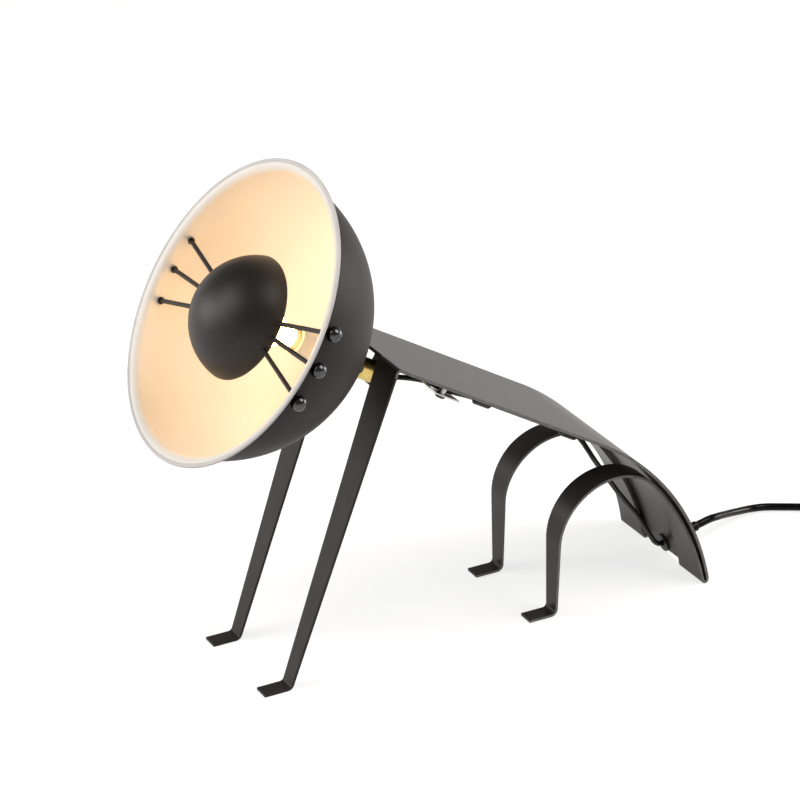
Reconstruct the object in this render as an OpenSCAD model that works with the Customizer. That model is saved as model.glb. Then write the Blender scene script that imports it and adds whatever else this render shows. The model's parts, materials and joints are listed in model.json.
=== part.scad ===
// Cat-shaped table lamp: bent sheet-steel body, tilting bowl shade, nose cap on whisker rods.
// The cat looks along -Y, +X is its left side, and it stands on z = 0.

/* [Back plate] */
// Thickness of the body's steel sheet
sheet_t = 2; // [1.6:0.1:2.4]
// Width of the back plate
back_w = 105; // [98:1:114]
// Straight length of the back plate, from its front edge
back_len = 175; // [165:1:185]
// Slope of the straight back
back_slope = 30.4; // [29:0.1:32]
// Outer radius of the tail's curve
tail_r = 188; // [180:1:196]
// Angle that the tail turns through
tail_turn = 48; // [46:0.5:50]
// Inner radius of the front fold
fold_r = 1; // [0.6:0.1:2]
// Depth of the lip below the front fold
lip_drop = 3; // [2:0.5:6]

/* [Legs] */
// Lean of the front legs from the vertical
leg_rake = 19; // [17:0.5:21]
// Reach of the front edge past the start of its fold, between the legs
edge_reach = 0.6; // [0.2:0.1:1]
// Gap between the front legs at the lip
front_gap_top = 54; // [48:1:60]
// Gap between the front legs at the feet
front_gap_foot = 63; // [58:1:66]
// Width of a front foot
front_foot_w = 12; // [10:0.5:15]
// Inner radius of each heel bend
heel_r = 3; // [2:0.5:4]
// Flat length of each foot
foot_len = 16.6; // [14:0.2:20]
// Outer radius of the rear legs' arch
arch_r = 43; // [39:0.5:46]
// Angle of the tail that a rear leg's strip lies under
rear_peel = 27; // [25:0.5:29]
// Gap between the tail and the strip folded under it
hem_gap = 1.5; // [1:0.1:2.5]
// Gap between the rear legs at the feet
rear_gap_foot = 60; // [56:1:64]
// Width of a rear foot
rear_foot_w = 12; // [10:0.5:15]
// Gap between the rear legs at the crown of the arch
rear_gap_crown = 54; // [50:1:58]
// Width of a rear leg at the crown of the arch
rear_crown_w = 19.5; // [17:0.5:22]
// Gap between the rear strips at the tail
rear_gap_tail = 46; // [40:1:50]

/* [Neck] */
// Diameter of the brass neck
neck_d = 15; // [14:0.5:17]
// Depth of the neck's axis below the top face of the plate
neck_drop = 17.4; // [16.5:0.1:20]
// Distance of the pivot behind the plate's front edge
pivot_back = 1.5; // [0:0.1:3]
// Length of the fork, from its pivot to the bracket
fork_len = 18.5; // [17:0.5:21]
// Diameter of the threaded stubs
stub_d = 10; // [9:0.5:10.5]
// Diameter of the wire bore
wire_bore = 6; // [5:0.5:6.5]
// Thickness of the tongue
tongue_t = 5; // [4:0.5:5.5]
// Radius of the tongue's round end
tongue_r = 6.5; // [6:0.1:7]
// Diameter of the pivot screw
pivot_d = 4; // [3:0.5:4.5]
// Thickness of the tongue's collar
collar_h = 6.4; // [5:0.2:8]
// Half width of the neck bracket
lug_half = 9; // [8:0.5:11]
// Length of the bracket's flange under the plate
flange_len = 22; // [16:1:28]
// Thickness of the neck nut
neck_nut_h = 3.5; // [3:0.5:5]

/* [Shade] */
// Elevation of the head's axis
head_rise = 33; // [32:0.1:35]
// Outer radius of the bowl
bowl_r = 96.2; // [90:0.1:98]
// Wall of the bowl
bowl_wall = 0.8; // [0.6:0.1:1.4]
// Depth of the bowl, from its back to its rim
bowl_depth = 87.8; // [86:0.2:91]
// Width of the rim's flange, past the bowl
rim_w = 6.2; // [3.5:0.1:7]
// Radius of the rolled bead on the flange
bead_r = 1; // [0.8:0.1:1.4]
// Thickness of the flange
rim_t = 1; // [0.8:0.1:1.4]

/* [Nose and whiskers] */
// Outer radius of the nose cap's sphere
nose_r = 42.6; // [39:0.1:44]
// Height of the nose cap
nose_h = 33.2; // [30:0.1:35]
// Wall of the nose cap
nose_wall = 1; // [0.8:0.1:1.6]
// Distance of the nose's open edge behind the rim
nose_back = 11.5; // [11.2:0.1:14]
// Diameter of a whisker rod
rod_d = 3; // [2.2:0.1:3.2]
// Distance of the rods behind the rim
rod_back = 8.9; // [7:0.1:9.3]
// Angle between neighbouring rods
rod_step = 13.6; // [11:0.1:16]
// Roll of the rods about the head's axis
rod_roll = 2.4; // [0:0.1:4]
// Diameter of a ball knob
knob_d = 10.2; // [9:0.1:11]
// Diameter of a small nut
nut_d = 5; // [4.6:0.1:5.6]
// Thickness of a small nut
nut_h = 1.6; // [1.4:0.1:2.2]

/* [Lamp holder and bulb] */
// Thickness of the shade's lock nut
lock_nut_h = 3.5; // [3:0.5:5]
// Radius of the shade's lock nut
lock_nut_r = 9; // [8:0.5:11]
// Diameter of the holder's body
holder_d = 20.5; // [20:0.5:24]
// Length of the holder's body
holder_len = 31; // [30:0.5:34]
// Thickness of the holder's base
holder_base = 6; // [5:0.5:8]
// Diameter of the bulb's threaded cap
cap_d = 13.9; // [13.5:0.1:14.2]
// Length of the bulb's cap
cap_len = 18; // [16:0.5:20]
// Diameter of the bulb's ball
ball_d = 24; // [20:0.5:26]
// Length of the bulb's glass
glass_len = 36; // [32:0.5:38]

/* [Lead and clips] */
// Diameter of the inner lead
lead_d = 3.6; // [3:0.2:4]
// Distance of the lead from the middle of the plate
lead_x = 24; // [22:0.5:26]
// Thickness of a clip between the plate and the lead
clip_seat = 2.2; // [1.6:0.1:3]
// Length of the steel clamp
clamp_len = 26; // [22:1:30]
// Width of the steel clamp
clamp_w = 12; // [11:0.5:14]
// Middle of the clamp, behind the front edge
clamp_at = 54; // [53:0.5:56]
// Length of a lead clip
clip_len = 12; // [9:0.5:15]
// Middle of the front clip, behind the front edge
clip_mid_at = 91; // [90:1:115]
// Middle of the rear clip, in front of the tail's curve
clip_rear_back = 7; // [6.5:0.5:20]
// Height of the tail's cord hole
hole_h = 8; // [7.5:0.5:12]

/* [Cord, switch and plug] */
// Diameter of the cord
cord_d = 5.4; // [5:0.1:5.8]
// Length of the strain relief
relief_len = 24; // [20:1:30]
// Length of the in-line switch
switch_len = 62; // [58:1:66]
// Width of the in-line switch
switch_w = 27; // [25:1:32]
// Height of the in-line switch
switch_h = 17; // [16:0.5:20]
// Turns of the put-away coil
coil_turns = 7.25; // [5.25:1:8.25]
// Radius of the coil's outer turn, to the middle of the cord
coil_r = 44; // [42:0.5:46]
// Thickness of the plug's body
plug_h = 19.4; // [18:0.1:22]
// Width of the plug's body
plug_w = 34; // [30:1:38]
// Length of the plug's body
plug_len = 36; // [30:1:42]

/* [Hidden] */
$fa = 3;
$fs = 0.4;

// Clearances: running fit of a pin, slip fit of a bore, and room beside a curved face
run_fit = 0.05;
slip_fit = 0.1;
room = 0.3;
// Reach of a cut past the solid that it cuts
over = 1;

// Body: places as [y, z], with y = 0 at the front edge of the plate
tail_end = back_slope + tail_turn;
hem_r = sheet_t + hem_gap / 2;
back_rise = back_len * sin(back_slope) + tail_r * (cos(back_slope) - cos(tail_end));
front_z = back_rise + hem_r * (1 + cos(tail_end));
fold_turn = back_slope + 90 - leg_rake;
fold_out = fold_r + sheet_t;
lip = [-fold_out * (sin(back_slope) + cos(leg_rake)) - lip_drop * sin(leg_rake),
       front_z + fold_out * (sin(leg_rake) - cos(back_slope)) - lip_drop * cos(leg_rake)];
heel_z = sheet_t + heel_r * (1 - sin(leg_rake));
front_run = (lip[1] - heel_z) / cos(leg_rake);
front_toe = [lip[0] - front_run * sin(leg_rake) - heel_r * cos(leg_rake) - foot_len, sheet_t];
tail_c = [back_len * cos(back_slope) - tail_r * sin(back_slope),
          front_z - back_len * sin(back_slope) - tail_r * cos(back_slope)];
strip_r = tail_r - sheet_t - hem_gap;
peel_at = tail_end - rear_peel;
arch_c = tail_c + (strip_r - arch_r) * [sin(peel_at), cos(peel_at)];
crown_z = arch_c[1] + arch_r;
taper_z = crown_z - 10;
rear_toe = [arch_c[0] - arch_r - heel_r - foot_len, sheet_t];

// Bent sheet: straight runs, and bends down or up with an inner radius and an angle
plate_path = [["run", lip_drop], ["down", fold_r, fold_turn], ["run", back_len], ["down", tail_r - sheet_t, tail_turn]];
front_path = [["run", foot_len], ["up", heel_r, 90 - leg_rake], ["run", front_run]];
rear_path = [["run", foot_len], ["up", heel_r, 90], ["run", arch_c[1] - sheet_t - heel_r],
             ["down", arch_r - sheet_t, 90 + peel_at], ["down", strip_r - sheet_t, rear_peel],
             ["up", hem_gap / 2, 180]];

// Neck and head: the pivot as [y, z], then places along the neck and along the head from the pivot
pivot = [pivot_back * cos(back_slope) - neck_drop * sin(back_slope),
         front_z - pivot_back * sin(back_slope) - neck_drop * cos(back_slope)];
under_plate = neck_drop - sheet_t;
lug_t = 2;
washer_t = 1;
washer_r = 8;
neck_nut_af = 14;
stub_len = slip_fit + lug_t + slip_fit + washer_t + neck_nut_h + 0.8;
slot_w = tongue_t + 2 * slip_fit;
slot_z = -(tongue_r + 0.8);
cheek_r = neck_d / 2;
spot_x = 5.8;
screw_head_r = 3.6;
screw_head_h = 1.8;
pivot_nut_af = 7;
pivot_nut_h = 3;
collar_z = cheek_r + 1.2;
stub_hole_r = stub_d / 2 + slip_fit;
collar_top = collar_z + collar_h;
bowl_c = collar_top + sqrt(pow(bowl_r, 2) - pow(stub_hole_r, 2)) + 0.02;
bowl_in = bowl_r - bowl_wall;
rim_r = bowl_r + rim_w;
rim_z = bowl_c - bowl_r + bowl_depth;
lock_nut_z = bowl_c - sqrt(pow(bowl_in, 2) - pow(lock_nut_r, 2)) + 0.02;
holder_z = lock_nut_z + lock_nut_h;
base_skin = 2;
socket_z = holder_z + holder_base;
head_stub_end = socket_z - base_skin;

// Lamp holder and bulb along the head
socket_d = cap_d + 3.2;
shell_floor = 1;
contact_r = 3.4;
contact_h = 2;
tip_r = 2.5;
tip_h = 1.6;
cap_z = socket_z + contact_h + tip_h;
glass_z = cap_z + cap_len;
glass_wall = 1;
ball_z = glass_z + glass_len - ball_d / 2;
glass_neck = cap_d / 2 - 0.6;

// Nose and whiskers along the head
nose_rim = rim_z - nose_back;
nose_c = nose_rim + nose_h - nose_r;
nose_in = nose_r - nose_wall;
rod_z = rim_z - rod_back;
rod_r = rod_d / 2;
small_nut_r = nut_d / 2;
wall_lag = bowl_c - rod_z;
nose_lead = rod_z - nose_c;
wall_nut_in = sqrt(pow(bowl_in, 2) - pow(wall_lag + small_nut_r, 2) - pow(small_nut_r, 2));
wall_nut_out = sqrt(pow(bowl_r, 2) - pow(wall_lag - small_nut_r, 2));
nose_nut_out = sqrt(pow(nose_in, 2) - pow(nose_lead + small_nut_r, 2) - pow(small_nut_r, 2));
knob_seat = wall_nut_out + nut_h;
knob_r = knob_d / 2;
knob_foot = 4;
knob_c = knob_seat + sqrt(pow(knob_r, 2) - pow(knob_foot, 2));
rod_start = nose_nut_out - nut_h - 0.6;
rod_end = knob_c - 0.5;
rod_angles = [for (side = [0, 180], k = [1, 0, -1]) rod_roll + side + (side == 0 ? 1 : -1) * k * rod_step];

// The tail's hole and the object's middle, so that the origin lies under the middle of the lamp
hole_at = acos((hole_h - tail_c[1]) / tail_r);
grommet_r = 5;
grommet_flange = 6.5;
grommet_lip = 1.6;
rim_front = pivot[0] - (rim_z - rim_t / 2) * cos(head_rise) - (rim_r - bead_r) * sin(head_rise) - bead_r;
tail_back = tail_c[0] + (tail_r - hem_r) * sin(tail_end) + hem_r;
grommet_back = tail_c[0] + (tail_r + grommet_lip) * sin(hole_at) + grommet_flange * cos(hole_at);
middle_y = (rim_front + max(tail_back, grommet_back)) / 2;

// Lead: points under the plate as [x, along the plate, below the top face], then the fall to the tail's hole as
// shares of the way from the hole to the rear clip, and the last bend as places from the hole
clip_rear_at = back_len - clip_rear_back;
lead_n = sheet_t + clip_seat + lead_d / 2;
lead_low = 7.6;
lead_in = pivot_back + 11;
lead_out = pivot_back + fork_len + stub_len;
lead_under = [
  [0, lead_in, neck_drop], [0, (lead_in + lead_out) / 2, neck_drop], [0, lead_out, neck_drop],
  [1, 33, 16.4], [3.5, 37.5, 14.2], [7.5, 41, 11.9], [12, 43.2, 10], [16.3, 45.4, 8.5], [20.2, 48.6, lead_low],
  [lead_x - 0.8, 53.5, lead_low], [lead_x, 60, lead_low], [lead_x, 69, 7.2],
  [lead_x, 77, lead_n + 0.4], [lead_x, clip_mid_at - clip_len / 2, lead_n], [lead_x, 106, lead_n],
  [lead_x, 124, lead_n], [lead_x, 142, lead_n], [lead_x, clip_rear_at - clip_len / 2, lead_n],
  [lead_x, clip_rear_at + clip_len / 2 + over, lead_n]
];
lead_fall = [
  [0.98, 0.955, 0.96], [0.94, 0.893, 0.887], [0.85, 0.81, 0.786], [0.725, 0.695, 0.66], [0.59, 0.57, 0.52],
  [0.46, 0.445, 0.39], [0.335, 0.33, 0.275], [0.23, 0.253, 0.183], [0.146, 0.198, 0.118]
];
lead_bend = [[2, -14, 7.6], [1, -10.8, 3.2], [0.3, -7.5, 0.2], [0, -4.5, -0.9], [0, -1, -0.24]];
hole_out = [0, tail_c[0] + tail_r * sin(hole_at) - middle_y, hole_h];
function under_point(p) = [p[0], p[1] * cos(back_slope) - p[2] * sin(back_slope) - middle_y,
                           front_z - p[1] * sin(back_slope) - p[2] * cos(back_slope)];
lead_way = under_point(lead_under[len(lead_under) - 1]) - hole_out;
function fallen(share) = hole_out + [for (k = [0:2]) share[k] * lead_way[k]];
lead_points = concat([for (p = lead_under) under_point(p)], [for (share = lead_fall) fallen(share)],
                     [for (p = lead_bend) hole_out + p]);

// Cord: the lying stretch, the switch, the link and the coil, on the table
cord_r = cord_d / 2;
exit_way = [0, sin(hole_at), cos(hole_at)];
relief_end = hole_out + (grommet_lip + relief_len) * exit_way;
switch_x = 63;
switch_y = 337;
switch_z = 8;
cord_route = [
  [-0.8, 229, 15.6], [-2.8, 235.5, 14.6], [-5.8, 242, 12.8], [-9, 248.5, 10.7], [-12, 255, 8.7],
  [-14.6, 261.5, 6.8], [-16.8, 268, 5.2], [-18.4, 274, 3.9], [-18.8, 279.5, 3.1], [-17.6, 285.5, 2.9],
  [-14.8, 291.5, 2.9], [-11.4, 297.5, 2.9], [-8, 303.5, 2.9], [-4.4, 309.5, 2.9], [-0.4, 315.4, 3],
  [4, 321.2, 3.6], [9, 326.8, 4.8], [14.6, 331.8, 6.3], [20.6, 335.6, 7.6]
];
switch_half = switch_len / 2;
switch_wall = 2;
cord_grip = 5;
run_end = [switch_x - switch_half + cord_grip, switch_y, switch_z];
link_start = [switch_x + switch_half - cord_grip, switch_y, switch_z];
coil_c = [138, switch_y - coil_r];
tie_t = 0.8;
coil_gap = 0.5;
coil_step = cord_d + coil_gap;
coil_low = tie_t + room + cord_r;
coil_high = coil_low + coil_step;
coil_in = [coil_c[0] - cord_d, switch_y, coil_low];
cord_points = concat([relief_end, relief_end + cord_d * exit_way], cord_route,
                     [run_end - [2 * cord_grip, 0, 0], run_end]);
link_points = [link_start, link_start + [2 * cord_grip, 0, 0], [107, switch_y, 7.1], [115, switch_y, 5.6],
               [123, switch_y, 4.3], coil_in - [cord_d, 0, 0], coil_in];

// Coil: spirals in on the lower layer, climbs in the half turn of the reversal, spirals out above
rings_per_turn = 24;
coil_rings = coil_turns * rings_per_turn;
function ease(u) = let (v = min(1, max(0, u))) v * v * (3 - 2 * v);
function coil_radius(t) = coil_r - coil_step * min(t, coil_turns - t);
function coil_height(t) = coil_low + coil_step * ease((t - coil_turns / 2) * 2 + 0.5);
function coil_point(t) = [coil_c[0] + coil_radius(t) * cos(90 - 360 * t),
                          coil_c[1] + coil_radius(t) * sin(90 - 360 * t), coil_height(t)];
coil_turn_points = [for (i = [0:coil_rings]) coil_point(i / rings_per_turn)];
coil_last = coil_turn_points[coil_rings];
plug_relief_len = 22;
plug_clear = 2;
plug_lead = sqrt(pow(coil_r + cord_r, 2) - pow(coil_r - plug_w / 2, 2)) + plug_clear - plug_relief_len;
plug_at = coil_last - [0, plug_lead, 0];
coil_points = concat([coil_in], coil_turn_points, [plug_at]);
coil_reach = rings_per_turn / 2;
function least(v, i = 0, best = 1e9) = i == len(v) ? best : least(v, i + 1, min(best, v[i]));
coil_spaces = [for (i = [0:coil_rings - coil_reach]) least(
  [for (j = [i + coil_reach:coil_rings]) norm(coil_turn_points[i] - coil_turn_points[j])])];
function path_length(p, i = 1, sum = 0) = i == len(p) ? sum : path_length(p, i + 1, sum + norm(p[i] - p[i - 1]));
echo(least_gap_of_the_coil = least(coil_spaces) - cord_d);
echo(cord_length = relief_len + path_length(cord_points) + norm(link_start - run_end) + path_length(link_points)
     + path_length(coil_points));
echo(pivot_place = [0, pivot[0] - middle_y, pivot[1]], arch_place = [arch_c[0] - middle_y, arch_c[1]]);
echo(rim_place = rim_z, rod_place = rod_z, nose_place = nose_c);

// Colours
steel_black = [0.13, 0.12, 0.12];
white_paint = [0.93, 0.91, 0.88];
brass = [0.8, 0.68, 0.35];
bright_steel = [0.75, 0.75, 0.77];
dark_nickel = [0.12, 0.12, 0.13];
black_plastic = [0.06, 0.06, 0.06];
ceramic = [0.9, 0.89, 0.85];

// Frames
module centred() {
  translate([0, -middle_y, 0]) children();
}

module on_plate() {
  centred() translate([0, 0, front_z]) rotate([-back_slope, 0, 0]) children();
}

module on_neck() {
  centred() translate([0, pivot[0], pivot[1]]) rotate([90 - back_slope, 0, 0]) children();
}

module on_head() {
  centred() translate([0, pivot[0], pivot[1]]) rotate([90 - head_rise, 0, 0]) children();
}

module at_hole() {
  translate(hole_out) rotate([-hole_at, 0, 0]) children();
}

module on_switch() {
  translate([switch_x, switch_y, 0]) children();
}

module on_plug() {
  translate(plug_at) rotate([90, 0, 0]) children();
}

// Top and bottom points of a bent sheet, from the top point p at the heading h above +Y
facet_len = 1.5;
function facing(h) = [-sin(h), cos(h)];
function bend_facets(s) = max(8, ceil(s[2] * PI / 180 * (s[1] + sheet_t) / facet_len));
function turned(s, h, share = 1) = s[0] == "run" ? h : s[0] == "down" ? h - s[2] * share : h + s[2] * share;
function step_pairs(s, p, h) =
  s[0] == "run" ? let (end = p + s[1] * [cos(h), sin(h)]) [[end, end - sheet_t * facing(h)]]
  : let (down = s[0] == "down",
         top = down ? s[1] + sheet_t : -s[1],
         bottom = down ? s[1] : -s[1] - sheet_t,
         centre = p - top * facing(h),
         count = bend_facets(s))
    [for (k = [1:count]) let (out = facing(turned(s, h, k / count))) [centre + top * out, centre + bottom * out]];
function sheet_pairs(path, p, h, i = 0) = i == len(path) ? [] : let (pairs = step_pairs(path[i], p, h))
  concat(pairs, sheet_pairs(path, pairs[len(pairs) - 1][0], turned(path[i], h), i + 1));

module sheet(path, p, h, x0, x1) {
  pairs = concat([[p, p - sheet_t * facing(h)]], sheet_pairs(path, p, h));
  last = len(pairs) - 1;
  centred() rotate([90, 0, 90]) translate([0, 0, x0]) linear_extrude(x1 - x0)
    polygon(concat([for (pair = pairs) pair[0]], [for (i = [last:-1:0]) pairs[i][1]]));
}

// A tube swept along points, with flat ends
module tube(points, radius, sides) {
  last = len(points) - 1;
  ring_points = [for (i = [0:last])
    let (way = points[min(i + 1, last)] - points[max(i - 1, 0)],
         ahead = way / norm(way),
         flat = cross(ahead, [0, 0, 1]),
         side = flat / norm(flat),
         up = cross(side, ahead))
    for (k = [0:sides - 1])
      points[i] + radius * (cos(360 * k / sides) * side + sin(360 * k / sides) * up)];
  walls = [for (i = [0:last - 1], k = [0:sides - 1])
    let (a = i * sides + k, b = i * sides + (k + 1) % sides)
    for (face = [[a, b, b + sides], [a, b + sides, a + sides]]) face];
  first_cap = [for (k = [1:sides - 2]) [0, k + 1, k]];
  last_cap = [for (k = [1:sides - 2]) [last * sides, last * sides + k, last * sides + k + 1]];
  polyhedron(ring_points, concat(walls, first_cap, last_cap));
}

module rounded_block(l, w, h, r) {
  linear_extrude(h) {
    square([l - 2 * r, w], center = true);
    square([l, w - 2 * r], center = true);
    for (x = [-1, 1], y = [-1, 1])
      translate([x * (l / 2 - r), y * (w / 2 - r)]) circle(r);
  }
}

// Body
module back_plate() {
  color(steel_black) difference() {
    sheet(plate_path, lip, 90 - leg_rake, -back_w / 2, back_w / 2);
    between_legs();
    at_hole() translate([0, 0, -sheet_t - over]) cylinder(r = grommet_r + slip_fit, h = sheet_t + 2 * over);
    at_clamp() clamp_bore(clamp_screw_bite);
  }
}

// Between the legs the front edge is cut straight, without its fold and lip
module between_legs() {
  reach = 2 * (fold_out + lip_drop + over);
  on_plate() translate([-front_gap_top / 2, -edge_reach - reach, -reach]) {
    cube([front_gap_top, reach, reach + over]);
    cube([front_gap_top, reach + lip_drop, reach - sheet_t - fold_r / 2]);
  }
}

module front_leg() {
  inner_top = front_gap_top / 2;
  inner_foot = front_gap_foot / 2;
  outer_foot = inner_foot + front_foot_w;
  outer_top = back_w / 2;
  grow = 1 + 2 * sheet_t / lip[1];
  function x_at(foot, top, share) = foot + (top - foot) * share;
  color(steel_black) intersection() {
    sheet(front_path, front_toe, 0, inner_top / 2, back_w);
    translate([0, back_w, 0]) rotate([90, 0, 0]) linear_extrude(4 * back_w) polygon([
      [inner_foot, -over], [outer_foot, -over], [outer_foot, 0], [x_at(outer_foot, outer_top, grow), grow * lip[1]],
      [x_at(inner_foot, inner_top, grow), grow * lip[1]], [inner_foot, 0]]);
  }
}

module rear_taper(inner_low, outer_low) {
  inner_crown = rear_gap_crown / 2;
  outer_crown = inner_crown + rear_crown_w;
  rotate([90, 0, 0]) linear_extrude(2 * back_w) polygon([
    [inner_low, -over], [outer_low, -over], [outer_low, 0], [outer_crown, taper_z],
    [outer_crown, crown_z + over], [inner_crown, crown_z + over], [inner_crown, taper_z], [inner_low, 0]]);
}

module rear_leg() {
  split_y = arch_c[0] - middle_y;
  color(steel_black) intersection() {
    sheet(rear_path, rear_toe, 0, rear_gap_tail / 4, back_w);
    union() {
      translate([0, split_y, 0]) rear_taper(rear_gap_foot / 2, rear_gap_foot / 2 + rear_foot_w);
      translate([0, split_y + 2 * back_w, 0]) rear_taper(rear_gap_tail / 2, back_w / 2);
    }
  }
}

module front_leg_left() {
  front_leg();
}

module front_leg_right() {
  mirror([1, 0, 0]) front_leg();
}

module rear_leg_left() {
  rear_leg();
}

module rear_leg_right() {
  mirror([1, 0, 0]) rear_leg();
}

module neck_bracket() {
  lug_z = -fork_len - slip_fit - lug_t;
  color(steel_black) on_neck() difference() {
    union() {
      translate([-lug_half, -lug_half, lug_z]) cube([2 * lug_half, lug_half + under_plate, lug_t]);
      translate([-lug_half, under_plate - lug_t, lug_z - flange_len])
        cube([2 * lug_half, lug_t, flange_len + lug_t]);
    }
    translate([0, 0, lug_z - over]) cylinder(r = stub_d / 2 + run_fit, h = lug_t + 2 * over);
  }
}

module lead() {
  color(black_plastic) tube(lead_points, lead_d / 2, 8);
}

// Clamp: a strip below the lead, its front end bent up, on a spacer beside the lead with a screw through it
clamp_t = 1;
clamp_tip = 6;
clamp_tip_rise = 2.4;
clamp_spacer_r = 2.8;
clamp_screw_d = 3;
clamp_screw_bite = 1.5;
clamp_head_r = 3.5;
clamp_head_h = 2.2;
clamp_low = lead_low + lead_d / 2 + room;
clamp_in = lead_x - lead_d / 2 - 0.6;
clamp_screw_x = lead_x + lead_d / 2 + room + clamp_spacer_r;

module at_clamp() {
  on_plate() translate([0, clamp_at, 0]) children();
}

module clamp_bore(bite) {
  translate([clamp_screw_x, 0, -clamp_low - clamp_t - over])
    cylinder(d = clamp_screw_d + 2 * slip_fit, h = clamp_low + clamp_t + over - sheet_t + bite + slip_fit);
}

module cord_clamp() {
  front = -clamp_len / 2;
  bend = front + clamp_tip;
  rear = clamp_len / 2;
  color(bright_steel) at_clamp() difference() {
    union() {
      translate([clamp_in, 0, -clamp_low]) rotate([90, 0, 90]) linear_extrude(clamp_w) polygon([
        [front, clamp_tip_rise], [bend, 0], [rear, 0], [rear, -clamp_t], [bend, -clamp_t],
        [front, clamp_tip_rise - clamp_t]]);
      translate([clamp_screw_x, 0, -clamp_low - clamp_t / 2])
        cylinder(r = clamp_spacer_r, h = clamp_low + clamp_t / 2 - sheet_t);
    }
    clamp_bore(0);
  }
}

module clamp_screw() {
  head_top = -clamp_low - clamp_t;
  color(dark_nickel) at_clamp() translate([clamp_screw_x, 0, 0]) {
    translate([0, 0, head_top - clamp_head_h]) cylinder(r = clamp_head_r, h = clamp_head_h);
    translate([0, 0, head_top]) cylinder(d = clamp_screw_d, h = -sheet_t + clamp_screw_bite - head_top);
  }
}

// Clips: a round saddle round the lead
clip_wall = 1.8;
clip_bore = lead_d / 2 + room;

module lead_clip() {
  clip_r = clip_bore + clip_wall;
  clip_foot = clip_r - clip_wall / 4;
  color(black_plastic) difference() {
    union() {
      translate([lead_x - clip_foot, -clip_len / 2, -lead_n]) cube([2 * clip_foot, clip_len, lead_n - sheet_t]);
      translate([lead_x, clip_len / 2, -lead_n]) rotate([90, 0, 0]) cylinder(r = clip_r, h = clip_len);
    }
    translate([lead_x, clip_len / 2 + over, -lead_n]) rotate([90, 0, 0])
      cylinder(r = clip_bore, h = clip_len + 2 * over);
    translate([lead_x - 2 * clip_r, -clip_len, -sheet_t]) cube([4 * clip_r, 2 * clip_len, 2 * clip_r]);
  }
}

module lead_clip_mid() {
  on_plate() translate([0, clip_mid_at, 0]) lead_clip();
}

module lead_clip_rear() {
  on_plate() translate([0, clip_rear_at, 0]) lead_clip();
}

module tail_grommet() {
  sag = pow(grommet_flange, 2) / (2 * (tail_r - sheet_t)) + 0.05;
  inner_lip = 1.4;
  color(black_plastic) at_hole() difference() {
    union() {
      cylinder(r = grommet_flange, h = grommet_lip);
      translate([0, 0, -sheet_t - sag - inner_lip]) cylinder(r = grommet_r, h = sheet_t + sag + inner_lip + over);
      translate([0, 0, -sheet_t - sag - inner_lip]) cylinder(r = grommet_flange, h = inner_lip);
    }
    translate([0, 0, -sheet_t - sag - inner_lip - over])
      cylinder(r = lead_d / 2 + room, h = sheet_t + sag + inner_lip + over + grommet_lip / 2);
  }
}

module strain_relief() {
  root_r = cord_r + 2;
  tip_r = cord_r + 0.8;
  color(black_plastic) at_hole() translate([0, 0, grommet_lip]) cylinder(r1 = root_r, r2 = tip_r, h = relief_len);
}

// Neck
module neck_fork() {
  color(brass) on_neck() difference() {
    union() {
      translate([0, 0, -fork_len]) cylinder(d = neck_d, h = fork_len);
      intersection() {
        cylinder(d = neck_d, h = cheek_r);
        rotate([0, 90, 0]) cylinder(r = cheek_r, h = 2 * neck_d, center = true);
      }
      translate([0, 0, -fork_len - stub_len]) cylinder(d = stub_d, h = stub_len + over);
    }
    translate([-slot_w / 2, -neck_d, slot_z]) cube([slot_w, 2 * neck_d, neck_d + cheek_r]);
    translate([0, 0, -fork_len - stub_len - over]) cylinder(d = wire_bore, h = fork_len + stub_len);
    rotate([0, 90, 0]) cylinder(d = pivot_d + 2 * run_fit, h = 2 * neck_d, center = true);
    for (side = [0, 180])
      rotate([0, 90, side]) translate([0, 0, spot_x]) cylinder(r = pivot_nut_af / 2 / cos(30) + room, h = neck_d);
  }
}

module hex_nut(af, bore, h) {
  difference() {
    cylinder(d = af / cos(30), h = h, $fn = 6);
    translate([0, 0, -over]) cylinder(d = bore, h = h + 2 * over);
  }
}

module neck_washer() {
  color(bright_steel) on_neck() translate([0, 0, -fork_len - lug_t - 2 * slip_fit - washer_t]) difference() {
    cylinder(r = washer_r, h = washer_t);
    translate([0, 0, -over]) cylinder(d = stub_d + 2 * run_fit, h = washer_t + 2 * over);
  }
}

module neck_nut() {
  color(brass) on_neck() translate([0, 0, -fork_len - lug_t - 2 * slip_fit - washer_t - neck_nut_h])
    hex_nut(neck_nut_af, stub_d + 2 * run_fit, neck_nut_h);
}

module pivot_screw() {
  color(dark_nickel) on_neck() rotate([0, 90, 0]) {
    translate([0, 0, spot_x]) cylinder(r = screw_head_r, h = screw_head_h);
    translate([0, 0, -spot_x - pivot_nut_h]) cylinder(d = pivot_d, h = 2 * spot_x + pivot_nut_h + over);
  }
}

module pivot_nut() {
  color(dark_nickel) on_neck() rotate([0, -90, 0]) translate([0, 0, spot_x])
    hex_nut(pivot_nut_af, pivot_d + 2 * run_fit, pivot_nut_h);
}

// Head
module neck_tongue() {
  color(brass) on_head() difference() {
    union() {
      rotate([0, 90, 0]) cylinder(r = tongue_r, h = tongue_t, center = true);
      translate([-tongue_t / 2, -tongue_r, 0]) cube([tongue_t, 2 * tongue_r, collar_z + over]);
      translate([0, 0, collar_z]) cylinder(d = neck_d, h = collar_h);
      translate([0, 0, collar_top - over]) cylinder(d = stub_d, h = head_stub_end - collar_top + over);
    }
    rotate([0, 90, 0]) cylinder(d = pivot_d + 2 * run_fit, h = 2 * neck_d, center = true);
    translate([0, 0, collar_z + over]) cylinder(d = wire_bore, h = head_stub_end);
  }
}

module each_rod(k) {
  translate([0, 0, rod_z]) rotate([0, 0, rod_angles[k]]) rotate([0, 90, 0]) children();
}

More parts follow.
